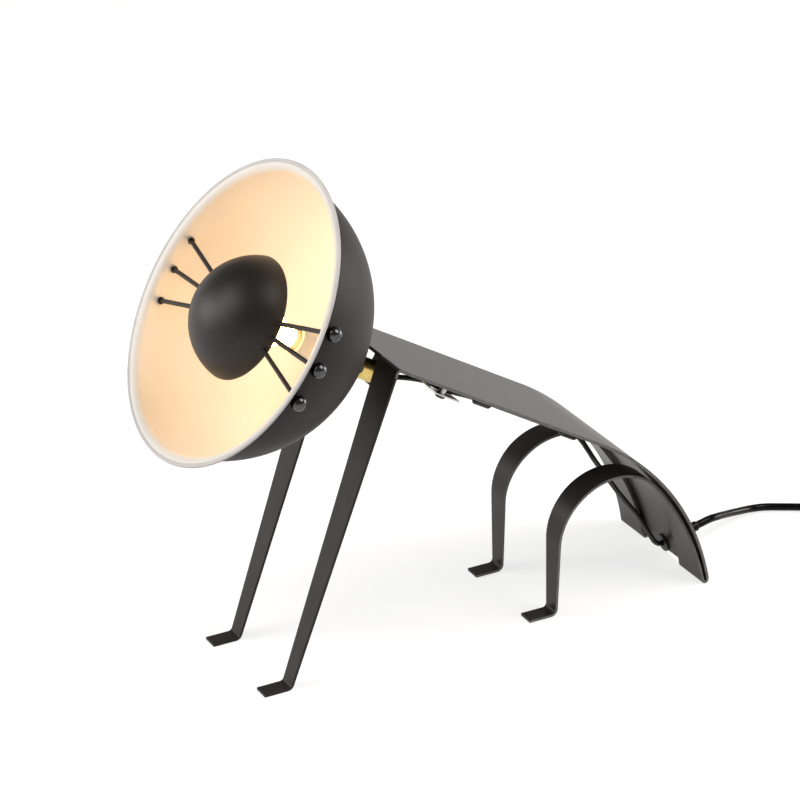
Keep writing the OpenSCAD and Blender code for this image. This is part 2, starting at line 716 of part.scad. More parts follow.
module rod_holes(from, to) {
  for (k = [0:len(rod_angles) - 1])
    each_rod(k) translate([0, 0, from]) cylinder(d = rod_d + 2 * slip_fit, h = to - from);
}

module shade() {
  color(steel_black) on_head() difference() {
    union() {
      difference() {
        intersection() {
          translate([0, 0, bowl_c]) sphere(bowl_r, $fa = 2);
          cylinder(r = 2 * bowl_r, h = rim_z);
        }
        translate([0, 0, bowl_c]) sphere(bowl_in, $fa = 2);
      }
      translate([0, 0, rim_z - rim_t]) difference() {
        cylinder(r = rim_r - bead_r, h = rim_t, $fa = 2);
        translate([0, 0, -over]) cylinder(r = bowl_r, h = rim_t + 2 * over, $fa = 2);
      }
      translate([0, 0, rim_z - rim_t]) difference() {
        cylinder(r = bowl_r + rim_t, h = rim_t, $fa = 2);
        translate([0, 0, bowl_c - rim_z + rim_t]) sphere(bowl_in + bowl_wall / 2, $fa = 2);
      }
      translate([0, 0, rim_z - rim_t / 2]) rotate_extrude($fa = 2) translate([rim_r - bead_r, 0]) circle(bead_r);
    }
    translate([0, 0, collar_top - over]) cylinder(r = stub_hole_r, h = bowl_r / 4);
    rod_holes(bowl_in - 3 * nut_h, bowl_r + over);
  }
}

module shade_nut() {
  color(bright_steel) on_head() translate([0, 0, lock_nut_z]) difference() {
    cylinder(r = lock_nut_r, h = lock_nut_h);
    translate([0, 0, -over]) cylinder(d = stub_d + 2 * run_fit, h = lock_nut_h + 2 * over);
  }
}

module holder_body() {
  color(ceramic) on_head() translate([0, 0, holder_z]) difference() {
    cylinder(d = holder_d, h = holder_len);
    translate([0, 0, -over]) cylinder(d = stub_d + 2 * run_fit, h = holder_base - base_skin + over + slip_fit);
    translate([0, 0, -over]) cylinder(r = contact_r - 1, h = holder_base + 2 * over);
    translate([0, 0, holder_base]) cylinder(d = socket_d, h = holder_len);
  }
}

module holder_shell() {
  shell_len = holder_len - holder_base - 2;
  color(brass) on_head() translate([0, 0, socket_z]) difference() {
    cylinder(d = socket_d - 2 * run_fit, h = shell_len);
    translate([0, 0, shell_floor]) cylinder(d = cap_d + 2 * slip_fit, h = shell_len);
    translate([0, 0, -over]) cylinder(r = contact_r + room, h = shell_floor + 2 * over);
  }
}

module holder_contact() {
  color(brass) on_head() translate([0, 0, socket_z]) cylinder(r = contact_r, h = contact_h);
}

module bulb_glass() {
  color(white_paint) on_head() difference() {
    union() {
      translate([0, 0, ball_z]) sphere(d = ball_d);
      translate([0, 0, glass_z]) cylinder(r = glass_neck, h = ball_z - glass_z);
    }
    translate([0, 0, ball_z]) sphere(ball_d / 2 - glass_wall);
    translate([0, 0, glass_z - over]) cylinder(r = glass_neck - glass_wall, h = ball_z - glass_z + over);
  }
}

module bulb_cap() {
  color(bright_steel) on_head() translate([0, 0, cap_z]) cylinder(d = cap_d, h = cap_len);
}

module bulb_contact() {
  color(brass) on_head() translate([0, 0, cap_z - tip_h]) cylinder(r = tip_r, h = tip_h);
}

module nose_cap() {
  color(steel_black) on_head() difference() {
    intersection() {
      translate([0, 0, nose_c]) sphere(nose_r, $fa = 2);
      translate([0, 0, nose_rim]) cylinder(r = 2 * nose_r, h = nose_r);
    }
    translate([0, 0, nose_c]) sphere(nose_in, $fa = 2);
    rod_holes(nose_in / 2, nose_r + over);
  }
}

module whisker_rod(k) {
  color(steel_black) on_head() each_rod(k) translate([0, 0, rod_start]) cylinder(d = rod_d, h = rod_end - rod_start);
}

module ball_knob(k) {
  color(dark_nickel) on_head() each_rod(k) difference() {
    intersection() {
      translate([0, 0, knob_c]) sphere(knob_r);
      translate([0, 0, knob_seat]) cylinder(r = knob_d, h = knob_d);
    }
    translate([0, 0, knob_seat - over]) cylinder(d = rod_d + 2 * run_fit, h = rod_end - knob_seat + over + run_fit);
  }
}

module small_nut(start) {
  translate([0, 0, start]) difference() {
    cylinder(r = small_nut_r, h = nut_h);
    translate([0, 0, -over]) cylinder(d = rod_d + 2 * run_fit, h = nut_h + 2 * over);
  }
}

module wall_nuts() {
  color(dark_nickel) on_head() for (k = [0:len(rod_angles) - 1]) {
    each_rod(k) small_nut(wall_nut_in - nut_h);
    each_rod(k) small_nut(wall_nut_out);
  }
}

module nose_nuts() {
  color(bright_steel) on_head() for (k = [0:len(rod_angles) - 1])
    each_rod(k) small_nut(nose_nut_out - nut_h);
}

// Cord and what is on it
module cord_run() {
  color(black_plastic) tube(cord_points, cord_r, 10);
}

module cord_link() {
  color(black_plastic) tube(link_points, cord_r, 10);
}

module cord_coil() {
  color(black_plastic) tube(coil_points, cord_r, 6);
}

module coil_tie() {
  tie_w = 4;
  inner_r = coil_radius(coil_turns / 2) - cord_r - room;
  outer_r = coil_r + cord_r + room;
  tall = coil_high + cord_r + room;
  color(black_plastic) translate([coil_c[0], coil_c[1], 0]) rotate([0, 0, -135]) difference() {
    translate([inner_r - tie_t, -tie_w / 2, 0]) cube([outer_r - inner_r + 2 * tie_t, tie_w, tall + tie_t]);
    translate([inner_r, -tie_w, tie_t]) cube([outer_r - inner_r, 2 * tie_w, tall - tie_t]);
  }
}

// Switch: two shells that meet at the cord, a rocker on trunnions in the cover
rocker_l = 19.6;
rocker_w = 10.4;
rocker_z = switch_h - 4;
rocker_tip = 8;
trunnion_r = 1.5;
cheek_t = 2;
switch_corner = 6;
screw_spots = [[-20, 8.5], [20, -8.5]];
boss_r = 3;
thread_r = 1.4;
screw_cap_r = 2.6;
screw_sink = 1.2;
cord_hole = cord_r + 0.2;

module cord_holes() {
  translate([-switch_len, 0, switch_z]) rotate([0, 90, 0]) cylinder(r = cord_hole, h = 2 * switch_len);
}

module switch_base() {
  color(black_plastic) on_switch() difference() {
    rounded_block(switch_len, switch_w, switch_z, switch_corner);
    translate([0, 0, switch_wall])
      rounded_block(switch_len - 2 * switch_wall, switch_w - 2 * switch_wall, switch_h, switch_corner - switch_wall);
    cord_holes();
    for (spot = screw_spots) translate([spot[0], spot[1], -over]) {
      cylinder(r = thread_r + slip_fit, h = switch_h);
      cylinder(r = screw_cap_r + room, h = over + screw_sink);
    }
  }
}

module switch_cover() {
  inner_h = switch_h - switch_z - switch_wall;
  window_l = rocker_l + 2;
  window_w = rocker_w + 0.6;
  color(black_plastic) on_switch() difference() {
    union() {
      translate([0, 0, switch_z]) difference() {
        rounded_block(switch_len, switch_w, switch_h - switch_z, switch_corner);
        translate([0, 0, -over]) rounded_block(switch_len - 2 * switch_wall, switch_w - 2 * switch_wall,
                                               inner_h + over, switch_corner - switch_wall);
      }
      for (side = [-1, 1])
        translate([-4, side * (window_w / 2 + cheek_t / 2) - cheek_t / 2, rocker_z - 4])
          cube([8, cheek_t, switch_h - rocker_z + 3]);
      for (spot = screw_spots) translate([spot[0], spot[1], switch_wall])
        cylinder(r = boss_r, h = switch_h - switch_wall - over);
    }
    translate([-window_l / 2, -window_w / 2, switch_z]) cube([window_l, window_w, switch_h]);
    translate([0, 0, rocker_z]) rotate([90, 0, 0])
      cylinder(r = trunnion_r + run_fit, h = window_w + 2 * cheek_t + over, center = true);
    cord_holes();
    for (spot = screw_spots) translate([spot[0], spot[1], 0])
      cylinder(r = thread_r + slip_fit, h = switch_h - switch_wall);
  }
}

module switch_rocker() {
  half = rocker_l / 2;
  end_up = 4.6;
  crest = 5.4;
  skirt = -2.5;
  color(black_plastic) on_switch() translate([0, 0, rocker_z]) rotate([0, rocker_tip, 0]) rotate([90, 0, 0]) {
    linear_extrude(rocker_w, center = true)
      polygon([[-half, skirt], [half, skirt], [half, end_up], [0, crest], [-half, end_up]]);
    cylinder(r = trunnion_r, h = rocker_w + 2 * cheek_t, center = true);
  }
}

module switch_contacts() {
  block = [7, 8, 3];
  color(brass) on_switch() for (side = [-1, 1])
    translate([side * 10 - block[0] / 2, -block[1] / 2, switch_wall]) cube(block);
}

module switch_screws() {
  head_h = 1;
  color(bright_steel) on_switch() for (spot = screw_spots) translate([spot[0], spot[1], screw_sink]) {
    translate([0, 0, -head_h]) cylinder(r = screw_cap_r, h = head_h);
    cylinder(r = thread_r, h = switch_h - switch_wall - screw_sink - head_h);
  }
}

// Plug
pin_d = 4;
pin_out = 19;
pin_in = 6;
pin_gap = 19;

module plug_relief() {
  color(black_plastic) on_plug() cylinder(r1 = cord_r + 0.8, r2 = cord_r + 2.4, h = plug_relief_len);
}

module plug_body() {
  round_r = plug_h / 2;
  color(black_plastic) on_plug() translate([0, 0, plug_relief_len]) difference() {
    linear_extrude(plug_len) {
      square([plug_w - plug_h, plug_h], center = true);
      for (side = [-1, 1]) translate([side * (plug_w / 2 - round_r), 0]) circle(round_r);
    }
    for (side = [-1, 1]) translate([side * pin_gap / 2, 0, plug_len - pin_in])
      cylinder(d = pin_d + 2 * run_fit, h = pin_in + over);
  }
}

module plug_pins() {
  color(bright_steel) on_plug() for (side = [-1, 1])
    translate([side * pin_gap / 2, 0, plug_relief_len + plug_len - pin_in]) cylinder(d = pin_d, h = pin_in + pin_out);
}

back_plate();
front_leg_left();
front_leg_right();
rear_leg_left();
rear_leg_right();
neck_bracket();
lead();
cord_clamp();
clamp_screw();
lead_clip_mid();
lead_clip_rear();
tail_grommet();
strain_relief();
neck_fork();
neck_washer();
neck_nut();
pivot_screw();
pivot_nut();
neck_tongue();
shade();
shade_nut();
holder_body();
holder_shell();
holder_contact();
bulb_glass();
bulb_cap();
bulb_contact();
nose_cap();
whisker_rod(0);  // whisker_rod_1
whisker_rod(1);  // whisker_rod_2
whisker_rod(2);  // whisker_rod_3
whisker_rod(3);  // whisker_rod_4
whisker_rod(4);  // whisker_rod_5
whisker_rod(5);  // whisker_rod_6
ball_knob(0);  // ball_knob_1
ball_knob(1);  // ball_knob_2
ball_knob(2);  // ball_knob_3
ball_knob(3);  // ball_knob_4
ball_knob(4);  // ball_knob_5
ball_knob(5);  // ball_knob_6
wall_nuts();
nose_nuts();
cord_run();
switch_base();
switch_cover();
switch_rocker();
switch_contacts();
switch_screws();
cord_link();
cord_coil();
coil_tie();
plug_body();
plug_relief();
plug_pins();
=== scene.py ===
import json
import math

import bmesh
import bpy
from mathutils import Matrix, Vector


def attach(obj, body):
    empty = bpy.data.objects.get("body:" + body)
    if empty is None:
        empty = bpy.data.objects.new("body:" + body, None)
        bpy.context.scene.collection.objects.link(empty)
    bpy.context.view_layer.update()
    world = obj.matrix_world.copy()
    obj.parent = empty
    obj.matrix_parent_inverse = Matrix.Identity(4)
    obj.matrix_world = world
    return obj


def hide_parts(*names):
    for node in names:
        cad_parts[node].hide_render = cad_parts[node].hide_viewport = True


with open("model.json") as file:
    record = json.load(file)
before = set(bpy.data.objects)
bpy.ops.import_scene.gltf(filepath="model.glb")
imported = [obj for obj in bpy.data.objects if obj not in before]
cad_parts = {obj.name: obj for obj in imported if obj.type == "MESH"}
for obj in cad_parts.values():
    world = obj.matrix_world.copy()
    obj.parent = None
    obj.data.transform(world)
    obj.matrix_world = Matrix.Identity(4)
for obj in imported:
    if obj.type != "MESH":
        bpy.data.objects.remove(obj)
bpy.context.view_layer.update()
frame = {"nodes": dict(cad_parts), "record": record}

scene = bpy.context.scene
print("frame:", len(frame["nodes"]), "nodes")

# the lamp's own axes, in mm and degrees: the neck's pivot is where the head tilts
lampPlaces = {
    "neckSlope": 30.4,
    "headRise": 33,
    "pivotOnPlate": (0, 1.5, -17.4),
    "tailHole": (0, 192.716, 8),
    "tailHoleTilt": 76.935,
}
tiltJoint = next(joint for joint in frame["record"]["behaviour"]["joints"] if joint["name"] == "head_tilt")
pivot = Vector(tiltJoint["pos_m"])


def mm(values):
    return Vector([v / 1000 for v in values])


def turnedBy(degrees, axis):
    return Matrix.Rotation(math.radians(degrees), 4, axis)


headPlace = Matrix.Translation(pivot) @ turnedBy(90 - lampPlaces["headRise"], "X")
plateTurn = turnedBy(-lampPlaces["neckSlope"], "X")
platePlace = Matrix.Translation(pivot - plateTurn @ mm(lampPlaces["pivotOnPlate"])) @ plateTurn
holePlace = Matrix.Translation(mm(lampPlaces["tailHole"])) @ turnedBy(-lampPlaces["tailHoleTilt"], "X")

# camera, where the photograph was taken from
cameraSettings = {"azimuth": 61.112, "elevation": 25.931, "lens": 160.6, "farthest": 50,
                  "place": (1827.96, -1027.49, 1181.78)}


def setCamera(settings):
    turn = (math.radians(90 - settings["elevation"]), 0, math.radians(settings["azimuth"]))
    bpy.ops.object.camera_add(location=mm(settings["place"]), rotation=turn)
    camera = bpy.context.object
    camera.name = "photoCamera"
    camera.data.lens = settings["lens"]
    camera.data.clip_end = settings["farthest"]
    scene.camera = camera


setCamera(cameraSettings)

# the cord's two lengths and the lead under the plate, in mm
cordSettings = {
    "radius": 2.7,
    "inRelief": (1.6, 9.6, 17.6, 25.6, 31),  # distances out of the tail's hole
    "run": [
        (-0.8, 229, 15.6), (-2.8, 235.5, 14.6), (-5.8, 242, 12.8), (-9, 248.5, 10.7), (-12, 255, 8.7),
        (-14.6, 261.5, 6.8), (-16.8, 268, 5.2), (-18.4, 274, 3.9), (-18.8, 279.5, 3.1), (-17.6, 285.5, 2.9),
        (-14.8, 291.5, 2.9), (-11.4, 297.5, 2.9), (-8, 303.5, 2.9), (-4.4, 309.5, 2.9), (-0.4, 315.4, 3),
        (4, 321.2, 3.6), (9, 326.8, 4.8), (14.6, 331.8, 6.3), (20.6, 335.6, 7.6), (27, 337, 8), (37, 337, 8),
    ],
    "link": [(89, 337, 8), (99, 337, 8), (107, 337, 7.1), (115, 337, 5.6), (123, 337, 4.3), (127.2, 337, 3.8),
             (132.6, 337, 3.8)],
    "plugStart": (182, 274.9, 9.7),
    "inPlug": 10,
    "runLength": 0.178,
    "restLength": 1.597,
}
coilSettings = {"middle": (138, 293), "radius": 44, "step": 5.9, "low": 3.8, "turns": 7.25, "perTurn": 24,
                "climbTurns": 0.5, "tieEdge": 0.25}
leadSettings = {
    "radius": 1.8,
    "length": 0.326,
    "underPlate": [  # across, along the plate, below its top face
        (0, 12.5, 17.4), (0, 20, 17.4), (0, 27.5, 17.4), (1, 33, 16.4), (3.5, 37.5, 14.2), (7.5, 41, 11.9),
        (12, 43.2, 10), (16.3, 45.4, 8.5), (20.2, 48.6, 7.6), (23.2, 53.5, 7.6), (24, 60, 7.6), (24, 69, 7.2),
        (24, 77, 6.4), (24, 85, 6), (24, 106, 6), (24, 124, 6), (24, 142, 6), (24, 162, 6), (24, 175, 6),
    ],
    "fall": [  # shares of the way from the tail's hole to the rear clip
        (0.98, 0.955, 0.96), (0.94, 0.893, 0.887), (0.85, 0.81, 0.786), (0.725, 0.695, 0.66),
        (0.59, 0.57, 0.52), (0.46, 0.445, 0.39), (0.335, 0.33, 0.275), (0.23, 0.253, 0.183),
        (0.146, 0.198, 0.118),
    ],
    "bend": [  # from the tail's hole
        (2, -14, 7.6), (1, -10.8, 3.2), (0.3, -7.5, 0.2), (0, -4.5, -0.9), (0, -1, -0.24),
    ],
}
curveSteps = 5  # how fine a cord is, along it and round it


def eased(share):
    return share * share * (3 - 2 * share)


def coilPoint(turn, settings):
    inward = min(turn, settings["turns"] - turn)
    radius = settings["radius"] - settings["step"] * inward
    angle = math.radians(90 - 360 * turn)
    climb = min(1, max(0, (turn - settings["turns"] / 2) / settings["climbTurns"] + 0.5))
    height = settings["low"] + settings["step"] * eased(climb)
    across, along = settings["middle"]
    return (across + radius * math.cos(angle), along + radius * math.sin(angle), height)


def layCord(name, points, radius):
    curve = bpy.data.curves.new(name, "CURVE")
    curve.dimensions = "3D"
    curve.bevel_depth = radius / 1000
    curve.bevel_resolution = curveSteps
    curve.resolution_u = curveSteps
    curve.use_fill_caps = True
    line = curve.splines.new("BEZIER")
    line.bezier_points.add(len(points) - 1)
    for spot, point in zip(line.bezier_points, points):
        spot.co = point
        spot.handle_left_type = "AUTO"
        spot.handle_right_type = "AUTO"
    piece = bpy.data.objects.new(name, curve)
    scene.collection.objects.link(piece)
    return piece


def runPoints(settings):
    sleeve = [holePlace @ mm((0, 0, out)) for out in settings["inRelief"]]
    return sleeve + [mm(point) for point in settings["run"]]


def restPoints(settings, coil):
    count = int(coil["turns"] * coil["perTurn"])
    turns = [coilPoint(i / coil["perTurn"], coil) for i in range(count + 1)]
    across, along, height = settings["plugStart"]
    ends = [settings["plugStart"], (across, along - settings["inPlug"], height)]
    return [mm(point) for point in settings["link"] + turns + ends]


def leadPoints(settings):
    hole = mm(lampPlaces["tailHole"])
    under = [platePlace @ mm((across, along, -below)) for across, along, below in settings["underPlate"]]
    way = under[-1] - hole
    fall = [hole + Vector([part * length for part, length in zip(share, way)]) for share in settings["fall"]]
    return under + fall + [hole + mm(point) for point in settings["bend"]]


cordRun = layCord("cordRun", runPoints(cordSettings), cordSettings["radius"])
cordRest = layCord("cordRest", restPoints(cordSettings, coilSettings), cordSettings["radius"])
innerLead = layCord("innerLead", leadPoints(leadSettings), leadSettings["radius"])
print("cords laid")

# finishes
grainRange = (0.3, 0.7)  # where most of a noise's values lie
hazeTint = (1.0, 0.80, 0.62)  # warm bloom of a powder coat seen along its face
plainLook = {"metal": 0, "shine": 0.5, "haze": 0}  # what holds where a look says nothing else


def newFinish(name):
    finish = bpy.data.materials.new(name)
    finish.use_nodes = True
    return finish, finish.node_tree.nodes["Principled BSDF"]


def addNode(finish, kind, **values):
    node = finish.node_tree.nodes.new(kind)
    for name, value in values.items():
        node.inputs[name.replace("_", " ")].default_value = value
    return node


def join(finish, start, end):
    finish.node_tree.links.new(start, end)


def objectSpots(finish):
    return addNode(finish, "ShaderNodeTexCoord").outputs["Object"]


def addGrain(finish, spots, scale, detail=2.0, stretch=None):
    grain = addNode(finish, "ShaderNodeTexNoise", Scale=scale, Detail=detail)
    if stretch:
        lay = addNode(finish, "ShaderNodeMapping", Scale=stretch)
        join(finish, spots, lay.inputs["Vector"])
        spots = lay.outputs["Vector"]
    join(finish, spots, grain.inputs["Vector"])
    return grain.outputs["Fac"]


def spread(finish, grain, ends, socket):
    between = addNode(finish, "ShaderNodeMapRange", From_Min=grainRange[0], From_Max=grainRange[1],
                      To_Min=ends[0], To_Max=ends[1])
    join(finish, grain, between.inputs["Value"])
    join(finish, between.outputs["Result"], socket)


def tint(finish, grain, look, socket):
    ramp = addNode(finish, "ShaderNodeValToRGB")
    for end, place, tone in zip(ramp.color_ramp.elements, grainRange, ("dark", "light")):
        end.position = place
        end.color = (*look[tone], 1)
    join(finish, grain, ramp.inputs["Fac"])
    join(finish, ramp.outputs["Color"], socket)


def rough(finish, shader, grain, strength, depth):
    bump = addNode(finish, "ShaderNodeBump", Strength=strength, Distance=depth / 1000)
    join(finish, grain, bump.inputs["Height"])
    join(finish, bump.outputs["Normal"], shader.inputs["Normal"])


def coatedFinish(name, ownLook):
    look = plainLook | ownLook
    finish, shader = newFinish(name)
    spots = objectSpots(finish)
    tint(finish, addGrain(finish, spots, look["cloud"]), look, shader.inputs["Base Color"])
    grain = addGrain(finish, spots, look["grain"], detail=3.0)
    spread(finish, grain, look["gloss"], shader.inputs["Roughness"])
    rough(finish, shader, grain, look["bump"], look["depth"])
    shader.inputs["Metallic"].default_value = look["metal"]
    shader.inputs["Specular IOR Level"].default_value = look["shine"]
    shader.inputs["Sheen Weight"].default_value = look["haze"]
    shader.inputs["Sheen Tint"].default_value = (*hazeTint, 1)
    return finish


def brushedFinish(name, look):
    finish, shader = newFinish(name)
    spots = objectSpots(finish)
    grain = addGrain(finish, spots, look["lines"], stretch=look["stretch"])
    tint(finish, addGrain(finish, spots, look["cloud"]), look, shader.inputs["Base Color"])
    spread(finish, grain, look["gloss"], shader.inputs["Roughness"])
    rough(finish, shader, grain, look["bump"], look["depth"])
    shader.inputs["Metallic"].default_value = 1
    return finish


finishLooks = {
    "powderBlack": {
        "dark": (0.019, 0.0155, 0.0135), "light": (0.026, 0.0218, 0.0192), "cloud": 45, "grain": 1900,
        "gloss": (0.31, 0.39), "bump": 0.10, "depth": 0.15, "shine": 0.22, "haze": 0.04,
    },
    # lighter colour for the sheet's side faces: a painted highlight along the edges
    "paintedEdgeHighlight": {
        "dark": (0.13, 0.125, 0.12), "light": (0.19, 0.185, 0.18), "cloud": 160, "grain": 1500,
        "gloss": (0.28, 0.40), "bump": 0.08, "depth": 0.10,
    },
    "shadeBlack": {
        "dark": (0.025, 0.0205, 0.018), "light": (0.033, 0.0275, 0.0245), "cloud": 30, "grain": 1900,
        "gloss": (0.46, 0.54), "bump": 0.08, "depth": 0.15, "shine": 0.16,
    },
    "noseBlack": {
        "dark": (0.009, 0.0062, 0.0048), "light": (0.012, 0.0088, 0.0072), "cloud": 30, "grain": 1700,
        "gloss": (0.40, 0.48), "bump": 0.06, "depth": 0.12, "shine": 0.42,
    },
    "whiteEnamel": {
        "dark": (0.80, 0.77, 0.71), "light": (0.84, 0.81, 0.76), "cloud": 25, "grain": 1300,
        "gloss": (0.35, 0.45), "bump": 0.05, "depth": 0.12,
    },
    # the shade's white paint again, made darker for the rim: painted shade
    "shadedRimEnamel": {
        "dark": (0.60, 0.575, 0.555), "light": (0.66, 0.635, 0.61), "cloud": 60, "grain": 1300,
        "gloss": (0.38, 0.50), "bump": 0.12, "depth": 0.15,
    },
    "blackNickel": {
        "dark": (0.075, 0.073, 0.073), "light": (0.105, 0.103, 0.103), "cloud": 250, "grain": 900,
        "gloss": (0.10, 0.16), "bump": 0.02, "depth": 0.10, "metal": 1,
    },
    "blackPvc": {
        "dark": (0.0025, 0.0025, 0.0025), "light": (0.005, 0.005, 0.005), "cloud": 90, "grain": 1500,
        "gloss": (0.10, 0.16), "bump": 0.03, "depth": 0.10, "shine": 0.14,
    },
    "blackPlastic": {
        "dark": (0.007, 0.007, 0.007), "light": (0.012, 0.012, 0.012), "cloud": 120, "grain": 2600,
        "gloss": (0.36, 0.50), "bump": 0.12, "depth": 0.10, "shine": 0.35,
    },
    "holderCeramic": {
        "dark": (0.70, 0.68, 0.64), "light": (0.76, 0.74, 0.70), "cloud": 150, "grain": 1500,
        "gloss": (0.45, 0.60), "bump": 0.06, "depth": 0.10,
    },
}
finishes = {name: coatedFinish(name, look) for name, look in finishLooks.items()}
metalLooks = {
    "satinBrass": {
        "dark": (0.60, 0.44, 0.13), "light": (0.72, 0.54, 0.19), "cloud": 180, "lines": 220,
        "stretch": (1, 14, 14), "gloss": (0.20, 0.34), "bump": 0.06, "depth": 0.05,
    },
    "brightSteel": {
        "dark": (0.46, 0.455, 0.45), "light": (0.58, 0.575, 0.57), "cloud": 150, "lines": 200,
        "stretch": (14, 1, 14), "gloss": (0.26, 0.38), "bump": 0.05, "depth": 0.05,
    },
}
finishes.update({name: brushedFinish(name, look) for name, look in metalLooks.items()})
bulbLook = {
    "dark": (0.82, 0.80, 0.76), "light": (0.88, 0.86, 0.82), "cloud": 200, "grain": 1400,
    "gloss": (0.35, 0.45), "bump": 0.05, "depth": 0.05, "glow": (1.0, 0.56, 0.18), "strength": 22,
}


def litGlass(name, look):
    finish = coatedFinish(name, look)
    shader = finish.node_tree.nodes["Principled BSDF"]
    shader.inputs["Emission Color"].default_value = (*look["glow"], 1)
    shader.inputs["Emission Strength"].default_value = look["strength"]
    return finish


finishes["frostedGlass"] = litGlass("frostedGlass", bulbLook)
print("finishes:", len(finishes))

# shop tools; lengths are in mm and angles in degrees
toolSettings = {"seed": 1, "mergeCopied": 0.002, "mergeTurned": 0.004, "flat": 0.4, "faceWeight": 100}
edgeSteps = 5  # faces round a small edge
plainAngle = 35  # the sharpest bend that stays smooth
spunAngle = 50  # the same, on glass and spun bowls


def letGo():
    bpy.ops.object.select_all(action="DESELECT")


def takeUp(piece):
    letGo()
    piece.select_set(True)
    bpy.context.view_layer.objects.active = piece


def settle(piece, place):
    piece.matrix_world = place
    takeUp(piece)
    bpy.ops.object.transform_apply(location=True, rotation=True, scale=True)


def applyAll(piece):
    takeUp(piece)
    for modifier in list(piece.modifiers):
        bpy.ops.object.modifier_apply(modifier=modifier.name)


def softenEdges(piece, width, segments=2, angle=40):
    bevel = piece.modifiers.new("edges", "BEVEL")
    bevel.width = width / 1000
    bevel.segments = segments
    bevel.limit_method = "ANGLE"
    bevel.angle_limit = math.radians(angle)
    applyAll(piece)


def smoothOff(piece, angle=plainAngle):
    takeUp(piece)
    bpy.ops.object.shade_smooth_by_angle(angle=math.radians(angle))


def flattenFaces(piece):
    weights = piece.modifiers.new("flatFaces", "WEIGHTED_NORMAL")
    weights.mode = "FACE_AREA"
    weights.weight = toolSettings["faceWeight"]
    weights.keep_sharp = True
    applyAll(piece)


def copied(piece, name):
    takeUp(piece)
    bpy.ops.object.duplicate(linked=False)
    twin = bpy.context.object
    twin.name = name
    return twin


def copyOf(node, name, *edges):
    piece = copied(frame["nodes"][node], name)
    for key in [key for key in piece.keys() if key.startswith("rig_")]:
        del piece[key]
    piece.parent = None
    bpy.ops.object.mode_set(mode="EDIT")
    bpy.ops.mesh.select_all(action="SELECT")
    bpy.ops.mesh.remove_doubles(threshold=toolSettings["mergeCopied"] / 1000)
    bpy.ops.mesh.customdata_custom_splitnormals_clear()
    bpy.ops.mesh.dissolve_limited(angle_limit=math.radians(toolSettings["flat"]))
    bpy.ops.object.mode_set(mode="OBJECT")
    softenEdges(piece, *edges)
    smoothOff(piece)
    flattenFaces(piece)
    return piece


def arc(centre, radius, start, end, count):
    steps = [math.radians(start + (end - start) * i / count) for i in range(count + 1)]
    return [(centre[0] + radius * math.cos(a), centre[1] + radius * math.sin(a)) for a in steps]


def turned(name, outline, steps):
    letGo()
    bpy.ops.mesh.primitive_plane_add(size=toolSettings["seed"] / 1000)
    piece = bpy.context.object
    piece.name = name
    bpy.ops.object.mode_set(mode="EDIT")
    bpy.ops.mesh.select_mode(type="VERT")
    bpy.ops.mesh.select_all(action="SELECT")
    bpy.ops.mesh.merge(type="CENTER")
    bpy.ops.transform.translate(value=(outline[0][0] / 1000, 0, outline[0][1] / 1000))
    for here, there in zip(outline, outline[1:]):
        move = ((there[0] - here[0]) / 1000, 0, (there[1] - here[1]) / 1000)
        bpy.ops.mesh.extrude_vertices_move(TRANSFORM_OT_translate={"value": move})
    bpy.ops.mesh.select_all(action="SELECT")
    bpy.ops.mesh.spin(steps=steps, angle=2 * math.pi, center=(0, 0, 0), axis=(0, 0, 1))
    bpy.ops.mesh.select_all(action="SELECT")
    bpy.ops.mesh.remove_doubles(threshold=toolSettings["mergeTurned"] / 1000)
    bpy.ops.mesh.normals_make_consistent(inside=False)
    bpy.ops.object.mode_set(mode="OBJECT")
    return piece


def turnedPiece(name, outline, steps, place, angle=plainAngle):
    piece = turned(name, outline, steps)
    settle(piece, place)
    smoothOff(piece, angle)
    return piece


def joined(pieces, name):
    takeUp(pieces[0])
    for piece in pieces[1:]:
        piece.select_set(True)
    bpy.ops.object.join()
    whole = bpy.context.object
    whole.name = name
    return whole


def finishOff(piece, finish, body, slot, *nodes):
    piece.data.materials.clear()
    piece.data.materials.append(finishes[finish])
    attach(piece, body)
    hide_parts(*nodes)
    return piece


def dressedCopy(node, name, finish, body, slot, *edges):
    return finishOff(copyOf(node, name, *edges), finish, body, slot, node)


# body: bent sheet with softened edges
sheetSettings = {"edge": 0.4, "sideways": 0.8, "bracketEdge": 0.3, "clampEdge": 0.2, "clipEdge": 0.4}


# Faces turned sideways get the lighter colour, a painted highlight along the sheet's edges.
def paintEdgeHighlights(piece):
    piece.data.materials.append(finishes["paintedEdgeHighlight"])
    for face in piece.data.polygons:
        face.material_index = int(abs(face.normal.x) > sheetSettings["sideways"])


def blackSheet(node, name, edge):
    return dressedCopy(node, name, "powderBlack", "body", "body_black", edge)


for node, name in (("front_leg_left", "frontLegLeft"), ("front_leg_right", "frontLegRight")):
    blackSheet(node, name, sheetSettings["edge"])
for node, name in (("back_plate", "backPlate"), ("rear_leg_left", "rearLegLeft"),
                   ("rear_leg_right", "rearLegRight")):
    paintEdgeHighlights(blackSheet(node, name, sheetSettings["edge"]))
blackSheet("neck_bracket", "neckBracket", sheetSettings["bracketEdge"])
dressedCopy("cord_clamp", "cordClamp", "brightSteel", "body", "bright_steel", sheetSettings["clampEdge"])
for node, name in (("lead_clip_mid", "leadClipMid"), ("lead_clip_rear", "leadClipRear")):
    dressedCopy(node, name, "blackPlastic", "body", "black_plastic", sheetSettings["clipEdge"])
print("body done")

# the clamp's screw, turned, with a socket in its head
screwSettings = {
    "place": (28.9, 54, 0), "under": -10.7, "head": (3.5, 2.2), "crown": 1.2, "shank": (1.5, 10.2),
    "tip": (0.4, 0.5), "socket": (1.4, 1.2), "steps": 32,
}


